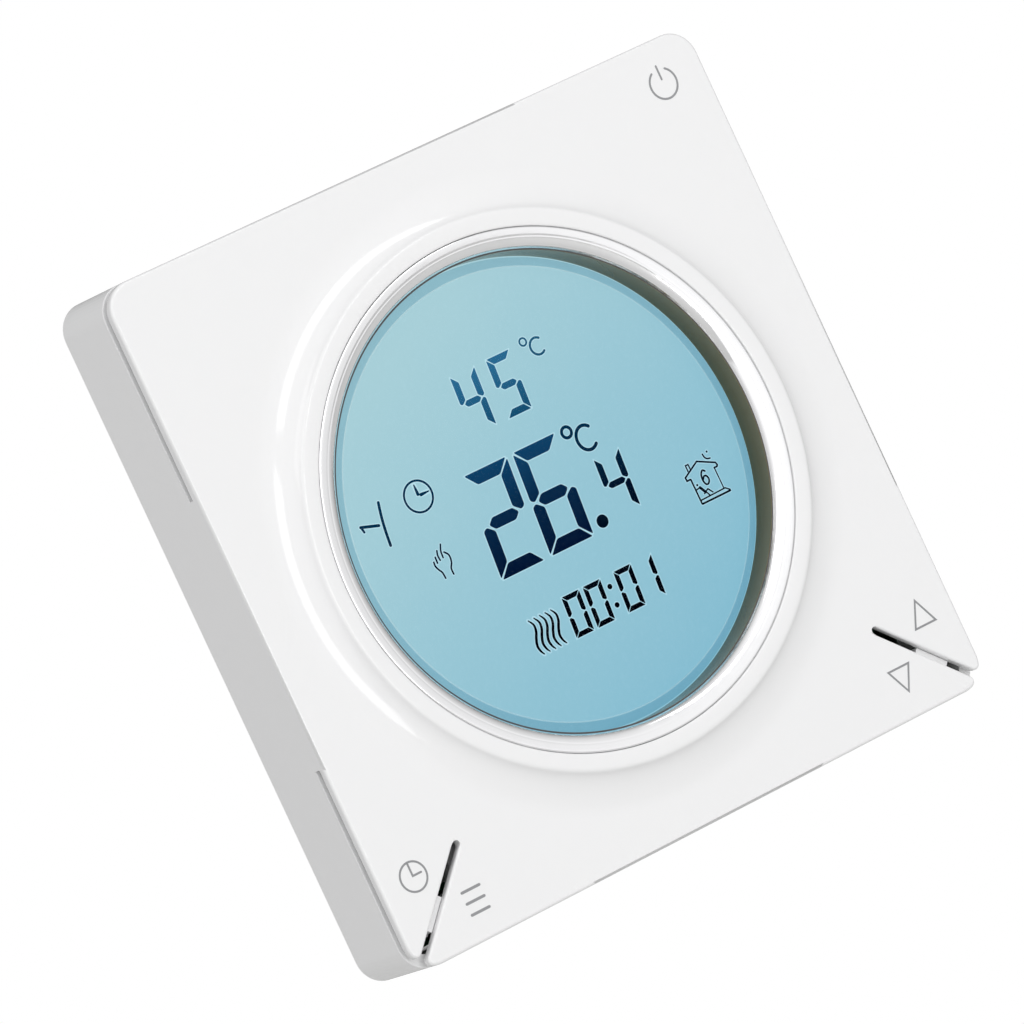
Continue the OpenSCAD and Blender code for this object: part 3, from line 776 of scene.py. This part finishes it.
def corner_piece(name, pts, radii, seam_a, seam_b, body, node, post):
    """Plate of one key. pts: outline (x, z), counter-clockwise; radii: edge rounding per edge, 0 on the seam."""
    area = sum(pts[i][0] * pts[(i + 1) % len(pts)][1] - pts[(i + 1) % len(pts)][0] * pts[i][1] for i in range(len(pts)))
    if area < 0:
        k = len(pts)
        pts = list(reversed(pts))
        radii = [radii[(k - 2 - i) % k] for i in range(k)]
    bm = bmesh.new()
    rings = []
    low = [(UNDER, 0.10), (UNDER + 0.03, 0.03), (UNDER + 0.10, 0.0)]
    for h, d in low:
        rings.append((h, [d if r > 0 else 0.0 for r in radii]))
    steps = 6
    for k in range(steps + 1):
        t = math.pi / 2 * k / steps
        d = RF * (1 - math.sin(t))
        rings.append((FACE - d, [inset(r, d) if r > 0 else 0.0 for r in radii]))
    vr = []
    for h, dist in rings:
        vr.append([bm.verts.new(P(x, h, z)) for x, z in offset_outline(pts, dist)])
    ring_faces(bm, vr)
    bm.faces.new(list(reversed(vr[0])))
    bm.faces.new(vr[-1])
    bmesh.ops.remove_doubles(bm, verts=bm.verts, dist=1e-7)
    bmesh.ops.recalc_face_normals(bm, faces=bm.faces)
    # lines across the plate, so that it can bend
    a, b = Vector((seam_a[0], 0, seam_a[1])) * MM, Vector((seam_b[0], 0, seam_b[1])) * MM
    d = (b - a).normalized()
    nrm = Vector((d.z, 0, -d.x))
    mid = sum((Vector((x, 0, z)) for x, z in pts), Vector()) / len(pts) * MM
    if (mid - a).dot(nrm) < 0:
        nrm = -nrm
    for w in (0.25, 0.6, 1.0, 1.5, 2.0, 2.6, 3.2, 5.0, 8.0, 12.0):
        bmesh.ops.bisect_plane(bm, geom=list(bm.verts) + list(bm.edges) + list(bm.faces), dist=1e-7, plane_co=a + nrm * w * MM, plane_no=nrm)
    # post that reaches the switch
    disc(bm, post[0], post[1], 1.2, 10.42, UNDER + 0.02, 32)
    bmesh.ops.recalc_face_normals(bm, faces=bm.faces)
    ob = new_object(name, bm, [M_WHITE])
    smooth(ob, 32)
    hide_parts(node)
    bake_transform(ob, "front", body, start=a + nrm * 0.0, end=a + nrm * 3.0 * MM)
    return ob


def corner_arc(sx, sz, n=10, a0=0.0, a1=90.0):
    c = HALF - CORNER_R
    return [(sx * (c + CORNER_R * math.cos(math.radians(a0 + (a1 - a0) * i / n))), sz * (c + CORNER_R * math.sin(math.radians(a0 + (a1 - a0) * i / n)))) for i in range(n + 1)]


arc = corner_arc(1, 1)
pts = [(KEY_IN, HALF), (HALF, KEY_IN)] + arc
corner_piece("corner_power", pts, [0.0] + [RF] * (len(pts) - 1), pts[0], pts[1], "key_power", "key_power", (36.5, 36.5))
hw = SLIT_W / 2 * math.sqrt(2)
RS = 0.30
for sx, side, low_ in ((1, "up", "down"), (-1, "clock", "mode")):
    # the key along the side edge, with a rounded tip between the corner of the face and the slit
    c0 = HALF - CORNER_R
    rho, hv = 0.72, SLIT_W / 2
    ou = c0 * math.sqrt(2)
    cv = hv + rho
    cu = ou + math.sqrt((CORNER_R - rho) ** 2 - cv * cv)
    a1 = math.degrees(math.atan2(cv, cu - ou))
    big = []
    for k in range(13):
        t = math.radians(45 - (45 - a1) * k / 12)
        big.append(uv(1, ou + CORNER_R * math.cos(t), CORNER_R * math.sin(t)))
    tip = []
    for k in range(1, 11):
        t = math.radians(a1 - (a1 + 90) * k / 10)
        tip.append(uv(1, cu + rho * math.cos(t), cv + rho * math.sin(t)))
    A, B = Vector((HALF, -KEY_IN)), Vector((SLIT_IN, -SLIT_IN))
    sd = (B - A).normalized()
    dd = Vector((1, -1)).normalized()
    o = Vector((hw / 2, hw / 2))
    den = sd.x * dd.y - sd.y * dd.x
    foot = tuple(A + sd * (((o - A).x * dd.y - (o - A).y * dd.x) / den))
    end = Vector(tip[-1])
    leg = (end - Vector(foot)).length
    fade = [(1.1, 1.0), (0.85, 0.80), (0.65, 0.55), (0.45, 0.30), (0.25, 0.10)]
    near = [tuple(Vector(foot) + (end - Vector(foot)) * (d / leg)) for d, _ in fade]
    outline_pts = [(HALF, -KEY_IN)] + big + tip + near + [foot]
    radii = [RF] * (len(big) + 1) + [RF + (RS - RF) * min(1.0, (k + 1) / 7) for k in range(len(tip) - 1)] + [RS] + [RS * f for _, f in fade] + [0.0]
    mirror = lambda p: (sx * p[0], p[1])
    flip = lambda p: (sx * -p[1], -p[0])          # the same key, turned over the diagonal
    sw = {"up": (38.4, -33.6), "clock": (-38.4, -33.6), "down": (33.6, -38.4), "mode": (-33.6, -38.4)}
    corner_piece("corner_" + side, [mirror(p) for p in outline_pts], list(radii), mirror(outline_pts[0]), mirror(outline_pts[-1]), "key_" + side, "key_" + side, sw[side])
    corner_piece("corner_" + low_, [flip(p) for p in outline_pts], list(radii), flip(outline_pts[0]), flip(outline_pts[-1]), "key_" + low_, "key_" + low_, sw[low_])

# ---------------------------------------------------------------- chrome bezel
bz = [(28.64, LCD + 0.12), (28.60, 13.86), (28.595, 13.94), (28.62, 13.98), (28.75, 13.985)]
LIP = len(bz) - 1
bz += [(28.79, 14.05), (28.86, 14.17), (28.945, 14.305), (29.05, 14.43), (29.19, 14.55), (29.37, 14.655), (29.59, 14.74), (29.85, 14.82), (30.06, 14.857)]
bz += [(30.10, 14.855), (30.14, 14.868)]
bz += [(30.4, 14.905), (30.75, 14.95), (31.0, BEZEL_TOP - 0.022), (31.08, BEZEL_TOP - 0.03), (31.15, BEZEL_TOP - 0.07), (31.19, BEZEL_TOP - 0.13), (BEZEL_R, BEZEL_TOP - 0.22), (BEZEL_R, 13.78), (29.5, 13.78), (29.5, LCD + 0.12)]


# inner wall below the lip, then a thin dark ring of painted shadow on the lip, then chrome
def bezel_mat(i):
    if i < LIP - 1:
        return 1
    if i < LIP:
        return 2
    return 0


bezel = lathe("bezel_ring", bz, [M_CHROME, M_WALL_PAINTED_SHADE, M_LIP_SHADOW_LINE], n=256, mat_of=bezel_mat)
smooth(bezel, 30, weighted=False)
place(bezel, "chrome_bezel", "chrome_bezel")

# ---------------------------------------------------------------- window and display
WIN_TOP = LENS1 if LENS1 > 11.5 else 11.85
wp = [(0, LENS0 + 0.09), (28.40, LENS0 + 0.09), (28.46, LENS0 + 0.14), (28.46, 10.27), (26.66, WIN_TOP - 0.075), (26.60, WIN_TOP - 0.028), (26.50, WIN_TOP), (0, WIN_TOP)]
win = lathe("window", wp, [M_WINDOW, M_WEDGE, M_WRIM_PAINTED_HIGHLIGHT], n=192, closed=False, mat_of=lambda i: 1 if i in (2, 3) else (2 if i in (4, 5) else 0))
for v in win.data.vertices:
    if v.co.y < -(WIN_TOP - 0.2) * MM and math.hypot(v.co.x, v.co.z) > 20 * MM:
        v.co.z *= 1.022
smooth(win, 25, weighted=False)
place(win, "display_lens", "display_lens")

lcd = soften("lcd_glass", [M_LCD_PAINTED_GLOW, M_GREY], 0.08, 1, paint=lambda p: 0 if p.normal.y < -0.5 and -p.center.y / MM > LCD - 0.2 else 1)
SEG0, SEG1 = LCD + 0.004, LCD + 0.040
HAL1 = LCD + 0.016
ink = bmesh.new()
icon = bmesh.new()
halo = bmesh.new()


def seg_poly(bmk, pts, h0, h1):
    prism(bmk, pts, h0, h1)


def round_poly(pts, r, steps=3):
    """Outline with small round corners."""
    out = []
    n = len(pts)
    for i in range(n):
        p, a, b = Vector(pts[i]), Vector(pts[i - 1]), Vector(pts[(i + 1) % n])
        da, db = (a - p), (b - p)
        k = min(r, da.length * 0.4, db.length * 0.4)
        q0, q1 = p + da.normalized() * k, p + db.normalized() * k
        for s in range(steps + 1):
            t = s / steps
            out.append(tuple((1 - t) ** 2 * q0 + 2 * t * (1 - t) * p + t * t * q1))
    return out


def digit(ch, x0, z0, w, h, t, slant=0.07, gap=0.10, into=None):
    """Seven-segment digit. x0: left edge at the middle height; z0: bottom."""
    lit = {"0": "abcdef", "1": "bc", "2": "abged", "4": "fgbc", "5": "afgcd", "6": "afgcde"}[ch]
    m = h / 2
    g = gap
    s = t / 2
    shapes = {
        "a": [(g, h), (w - g, h), (w - t - g * 0.2, h - t), (t + g * 0.2, h - t)],
        "d": [(g, 0), (t + g * 0.2, t), (w - t - g * 0.2, t), (w - g, 0)],
        "f": [(0, h - g * 1.3), (t, h - t - g * 1.3), (t, m + s + g * 0.55), (s * 0.7, m + g * 0.6), (0, m + s * 0.55)],
        "b": [(w, h - g * 1.3), (w, m + s * 0.55), (w - s * 0.7, m + g * 0.6), (w - t, m + s + g * 0.55), (w - t, h - t - g * 1.3)],
        "e": [(0, g * 1.3), (0, m - s * 0.55), (s * 0.7, m - g * 0.6), (t, m - s - g * 0.55), (t, t + g * 1.3)],
        "c": [(w, g * 1.3), (w - t, t + g * 1.3), (w - t, m - s - g * 0.55), (w - s * 0.7, m - g * 0.6), (w, m - s * 0.55)],
        "g": [(s * 1.1 + g, m), (t + g, m + s * 0.92), (w - t - g, m + s * 0.92), (w - s * 1.1 - g, m), (w - t - g, m - s * 0.92), (t + g, m - s * 0.92)],
    }
    for k in lit:
        pts = [(x0 + x + slant * (z - m), z0 + z) for x, z in shapes[k]]
        area = sum(pts[i][0] * pts[(i + 1) % len(pts)][1] - pts[(i + 1) % len(pts)][0] * pts[i][1] for i in range(len(pts)))
        if area < 0:
            pts.reverse()
        prism(into or ink, round_poly(pts, t * 0.16), SEG0, SEG1)
        big = offset_outline(pts, [-0.13] * len(pts))
        prism(halo, round_poly(big, t * 0.3), SEG0, HAL1)


def mark(pts, width, closed=False, taper=None, glow=True):
    width = width * 1.22 if width < 0.4 else width
    ribbon(icon, pts, width, SEG0, SEG1, closed=closed, taper=taper)
    if glow:
        ribbon(halo, pts, width + 0.22, SEG0, HAL1, closed=closed)


def dot(x, z, r):
    disc(icon, x, z, r, SEG0, SEG1)
    disc(halo, x, z, r + 0.13, SEG0, HAL1)


digit("4", -4.72, 9.75, 3.55, 7.35, 0.86)
digit("5", 0.62, 9.75, 3.48, 7.35, 0.86)
digit("2", -9.02, -6.85, 6.42, 12.8, 1.56, slant=0.085, gap=0.16)
digit("6", -1.72, -6.85, 6.42, 12.8, 1.56, slant=0.085, gap=0.16)
digit("4", 8.14, -6.12, 3.70, 7.3, 0.84, into=icon)
dot(6.0, -5.8, 0.80)
for x in (-3.58, -0.42, 4.18):
    digit("0", x, -16.8, 2.60, 5.1, 0.60, slant=0.075, gap=0.07, into=icon)
digit("1", 7.22, -16.8, 2.60, 5.1, 0.62, slant=0.075, gap=0.07, into=icon)
dot(3.17, -13.05, 0.33)
dot(3.02, -15.35, 0.33)
# degree signs
mark(circle_pts(6.45, 17.15, 0.46, 32), 0.19, closed=True)
mark(circle_pts(8.02, 16.0, 0.98, 28, rz=1.03, a0=52, a1=308, closed=False), 0.24)
mark(circle_pts(6.65, 5.4, 0.66, 36), 0.32, closed=True)
mark(circle_pts(8.80, 3.85, 1.32, 32, rz=1.5, a0=48, a1=312, closed=False), 0.42)
# heating waves
for k in range(5):
    o = k * 0.83
    w = spline([(-8.68 + o, -12.42), (-8.25 + o, -13.1), (-8.32 + o, -13.9), (-8.72 + o, -14.7), (-8.98 + o, -15.5), (-8.86 + o, -16.2), (-8.58 + o, -16.68)], 5)
    mark(w, 0.30, taper=lambda t: 0.25 + 0.75 * math.sin(math.pi * min(max(t, 0.03), 0.97)) ** 0.6)
# clock
mark(circle_pts(-14.9, 6.2, 1.88, 56), 0.22, closed=True)
mark([(-14.84, 7.62), (-14.84, 7.2), (-14.85, 6.45)], 0.34, taper=lambda t: 0.35 + 0.65 * t)
mark([(-13.36, 6.26), (-13.9, 6.26), (-14.5, 6.26)], 0.34, taper=lambda t: 0.35 + 0.65 * t)
# period mark at the left
mark(spline([(-20.05, 7.58), (-20.45, 6.0), (-20.75, 4.3), (-20.96, 2.5)], 6), 0.30)
mark([(-23.55, 5.86), (-21.25, 5.16)], 0.30)
mark([(-23.50, 5.80), (-23.36, 5.18)], 0.24)
# manual mode: open hand
for f in ([(-16.74, -1.45), (-16.78, -1.95), (-16.55, -2.5), (-16.28, -2.95), (-16.2, -3.7)],
          [(-16.30, -1.0), (-16.34, -1.72)],
          [(-15.74, -0.40), (-15.90, -0.95), (-15.86, -1.55)],
          [(-14.95, 0.10), (-15.28, -0.62), (-15.36, -1.42)],
          [(-14.95, -0.90), (-14.52, -1.45), (-14.60, -2.30), (-14.98, -2.95), (-15.0, -3.68)]):
    mark(spline(f, 5) if len(f) > 2 else f, 0.18)
# home period: house with a number, a moon and an easy chair
mark([(19.2, -5.98), (18.70, -5.98), (18.68, -5.55), (21.02, -4.38), (23.30, -5.46), (23.40, -5.80), (23.28, -5.96), (22.86, -5.96)], 0.18)
mark([(19.26, -6.0), (19.28, -9.16)], 0.18)
mark([(22.86, -6.0), (22.88, -8.62)], 0.13)
mark([(19.34, -9.2), (23.55, -9.2)], 0.20)
mark([(19.34, -8.74), (23.05, -8.66), (23.58, -9.08)], 0.15)
mark([(19.38, -5.0), (19.38, -4.26), (19.78, -4.26), (19.78, -4.82)], 0.15)
mark(spline([(21.50, -5.82), (21.18, -5.62), (20.82, -6.05), (20.72, -6.75), (20.92, -7.28), (21.26, -7.32), (21.54, -6.92), (21.42, -6.42), (21.08, -6.34), (20.80, -6.66)], 5), 0.19)
mark([(19.42, -7.40), (19.85, -7.32), (20.30, -8.10), (20.85, -7.86), (21.30, -8.46)], 0.15)
mark([(19.95, -7.30), (20.42, -8.10)], 0.26)
mark([(20.16, -8.20), (20.46, -8.10), (20.74, -8.62)], 0.15)
mark(spline([(22.15, -3.92), (22.24, -4.34), (22.48, -4.62), (22.90, -4.72)], 5), 0.16)
dot(19.74, -6.92, 0.14)
dot(22.84, -3.86, 0.13)
seg = finish_flat("display_segments", ink, [M_INK_PAINTED_LIGHT])
place(seg, "lcd_glass")
seg2 = finish_flat("display_icons", icon, [M_ICON_INK_PAINTED_LIGHT])
place(seg2, "lcd_glass")
hal = finish_flat("display_segment_edges", halo, [M_HALO])
place(hal, "lcd_glass")

# ---------------------------------------------------------------- marks printed on the keys
MK0, MK1 = FACE - 0.01, FACE + 0.02


def printed(name, body, draw):
    bm = bmesh.new()
    draw(bm)
    ob = finish_flat(name, bm, [M_PRINT])
    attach(ob, body)
    return ob


def draw_power(bm):
    ribbon(bm, circle_pts(36.88, 37.68, 1.87, 60, a0=-238, a1=58, closed=False), 0.26, MK0, MK1)
    ribbon(bm, [(36.88, 39.93), (36.88, 38.22)], 0.25, MK0, MK1)


def draw_up(bm):
    ribbon(bm, [(38.22, -30.52), (36.68, -33.66), (39.78, -33.66)], 0.25, MK0, MK1, closed=True)


def draw_down(bm):
    ribbon(bm, [(32.22, -39.78), (33.78, -36.76), (30.68, -36.76)], 0.25, MK0, MK1, closed=True)


def draw_clock(bm):
    ribbon(bm, circle_pts(-38.36, -32.62, 1.77, 60), 0.25, MK0, MK1, closed=True)
    ribbon(bm, [(-38.42, -31.05), (-38.42, -32.52), (-37.22, -32.52)], 0.25, MK0, MK1)


def draw_menu(bm):
    for z in (-36.85, -38.25, -39.65):
        ribbon(bm, [(-33.62, z), (-31.08, z)], 0.34, MK0, MK1)


printed("mark_power", "key_power", draw_power)
printed("mark_up", "key_up", draw_up)
printed("mark_down", "key_down", draw_down)
printed("mark_clock", "key_clock", draw_clock)
printed("mark_menu", "key_mode", draw_menu)

# ---------------------------------------------------------------- everything behind the face
soften("back_tray", M_TRAY, 0.16)
soften("dust_seal", M_FOAM, 0.1, 1)
soften("backlight_guide", M_GUIDE, 0.1, 1)
soften("backlight_reflector", M_FILM, 0.02, 1)
soften("backlight_leds", M_LED, 0.12)
soften("lcd_frame", M_GREY, 0.2)
soften("zebra_strip", M_PINK, 0.15)
soften("control_board", M_BOARD, 0.06, 1)
soften("board_screws", M_SCREW, 0.10)
soften("switch_housings", M_BLACK, 0.15)
soften("switch_covers", M_CAN, 0.05, 1)
soften("microcontroller", [M_BLACK, M_CAN], 0.06, 1, paint=lambda p: 1 if abs(p.center.x / MM - 17) > 4.55 else 0)
soften("display_driver", [M_BLACK, M_CAN], 0.06, 1, paint=lambda p: 1 if abs(p.center.x / MM + 6) > 3.05 else 0)
soften("crystal", M_CAN, 0.2)
soften("backup_cell", M_CAN, 0.2)
soften("temperature_sensor", M_BLACK, 0.03, 1)
soften("socket_header", M_BLACK, 0.1, 1)
for k in ("power", "up", "down", "clock", "mode"):
    soften("plunger_" + k, M_BLACK, 0.08)
soften("mounting_frame", M_STEEL, 0.12)
soften("power_box", M_BOX, 0.45, 3)
soften("box_screws", M_SCREW, 0.08)
soften("power_board", M_BOARD, 0.06, 1)
soften("pin_header", [M_BLACK, M_GOLD], 0.08, 1, paint=lambda p: 1 if (-p.center.y / MM > 0.55 or -p.center.y / MM < -2.05) else 0)
soften("relay", M_BLUE, 0.3)
soften("transformer_core", M_FERRITE, 0.25)
soften("transformer_coil", M_TAPE, 0.3)
soften("supply_capacitor", M_YELLOW, 0.4, 3)
soften("smoothing_capacitor", M_SLEEVE, 0.3)
soften("varistor", M_VARI, 0.5, 3)
soften("fuse", M_TAN, 0.12)
soften("rectifier", M_BLACK, 0.2)
soften("terminal_block", M_GREEN, 0.18)
soften("terminal_clamps", M_BRASS, 0.1, 1)
soften("terminal_screws", M_SCREW, 0.1)

# ---------------------------------------------------------------- camera
cam = bpy.data.cameras.new("camera")
cam.sensor_width = 36.0
cam.lens = 303.346
cam.clip_start = 0.05
cam.clip_end = 20
co = bpy.data.objects.new("camera", cam)
scene.collection.objects.link(co)
co.matrix_world = Matrix(((0.78287, 0.382424, -0.490781, -0.498065),
                          (-0.456913, -0.182031, -0.870687, -0.885738),
                          (-0.422309, 0.905879, 0.032228, 0.032226),
                          (0, 0, 0, 1)))
scene.camera = co

# ---------------------------------------------------------------- floor, light
fb = bmesh.new()
bmesh.ops.create_grid(fb, x_segments=2, y_segments=2, size=1.5)
floor = new_object("floor", fb, [plastic("floor_pale", (0.82, 0.82, 0.81), rough=0.8, grain=60.0, depth=0.0002, vary=0.01)])
floor.location = (0, 0, -0.42)


def area(name, loc, target, size, size_y, power, color=(1, 1, 1)):
    l = bpy.data.lights.new(name, "AREA")
    l.shape = "RECTANGLE"
    l.size, l.size_y = size, size_y
    l.energy = power
    l.color = color
    o = bpy.data.objects.new(name, l)
    scene.collection.objects.link(o)
    o.location = loc
    o.rotation_euler = (Vector(target) - Vector(loc)).to_track_quat("-Z", "Y").to_euler()
    return o


def strip(name, towards, up, dist, start, end, width, radiance):
    """Long soft box: its middle line runs between two (across, along) points on a plane at dist."""
    z = Vector(towards).normalized()
    v = (Vector(up) - z * Vector(up).dot(z)).normalized()
    u = v.cross(z)
    p, q = [z * dist + u * a + v * b for a, b in (start, end)]
    y = (q - p).normalized()
    x = y.cross(z)
    l = bpy.data.lights.new(name, "AREA")
    l.shape = "RECTANGLE"
    l.size, l.size_y = width, (q - p).length
    l.energy = radiance * math.pi * width * l.size_y
    ob = bpy.data.objects.new(name, l)
    scene.collection.objects.link(ob)
    c = (p + q) / 2
    ob.matrix_world = Matrix(((x.x, y.x, z.x, c.x), (x.y, y.y, z.y, c.y), (x.z, y.z, z.z, c.z), (0, 0, 0, 1)))
    return ob


UP = (0.382, -0.182, 0.906)
SOFT = (0.10, -0.993, -0.048)
strip("soft_strip_high", SOFT, UP, 1.3, (-0.14, 0.36), (0.42, 2.40), 0.21, 3.6)
strip("soft_strip_low", SOFT, UP, 1.3, (-0.15, 0.255), (0.13, -1.10), 0.20, 3.6)
area("soft_key", (-0.75, -0.95, 1.0), (0, 0, 0), 0.8, 0.8, 2.6)

world = bpy.data.worlds.new("studio")
scene.world = world
world.use_nodes = True
wt = world.node_tree
wt.nodes.clear()
out = wt.nodes.new("ShaderNodeOutputWorld")
bg = wt.nodes.new("ShaderNodeBackground")
bgc = wt.nodes.new("ShaderNodeBackground")
mixs = wt.nodes.new("ShaderNodeMixShader")
lp = wt.nodes.new("ShaderNodeLightPath")
tc = wt.nodes.new("ShaderNodeTexCoord")
dp = wt.nodes.new("ShaderNodeVectorMath")
dp.operation = "DOT_PRODUCT"
dp.inputs[1].default_value = (-0.205, 0.0, 0.05)
wt.links.new(tc.outputs["Generated"], dp.inputs[0])
sp = wt.nodes.new("ShaderNodeSeparateXYZ")
wt.links.new(tc.outputs["Generated"], sp.inputs[0])
fr = wt.nodes.new("ShaderNodeMath")
fr.operation = "MULTIPLY"
fr.inputs[1].default_value = -0.725
fr.use_clamp = True
wt.links.new(sp.outputs["Y"], fr.inputs[0])
ad = wt.nodes.new("ShaderNodeMath")
ad.operation = "ADD"
wt.links.new(dp.outputs["Value"], ad.inputs[0])
wt.links.new(fr.outputs[0], ad.inputs[1])
a2 = wt.nodes.new("ShaderNodeMath")
a2.operation = "ADD"
a2.inputs[1].default_value = 0.445
wt.links.new(ad.outputs[0], a2.inputs[0])
wt.links.new(a2.outputs[0], bg.inputs["Color"])
bg.inputs["Strength"].default_value = 1.0
bgc.inputs["Color"].default_value = (1, 1, 1, 1)
bgc.inputs["Strength"].default_value = 1.0
wt.links.new(lp.outputs["Is Camera Ray"], mixs.inputs["Fac"])
wt.links.new(bg.outputs[0], mixs.inputs[1])
wt.links.new(bgc.outputs[0], mixs.inputs[2])
wt.links.new(mixs.outputs[0], out.inputs["Surface"])
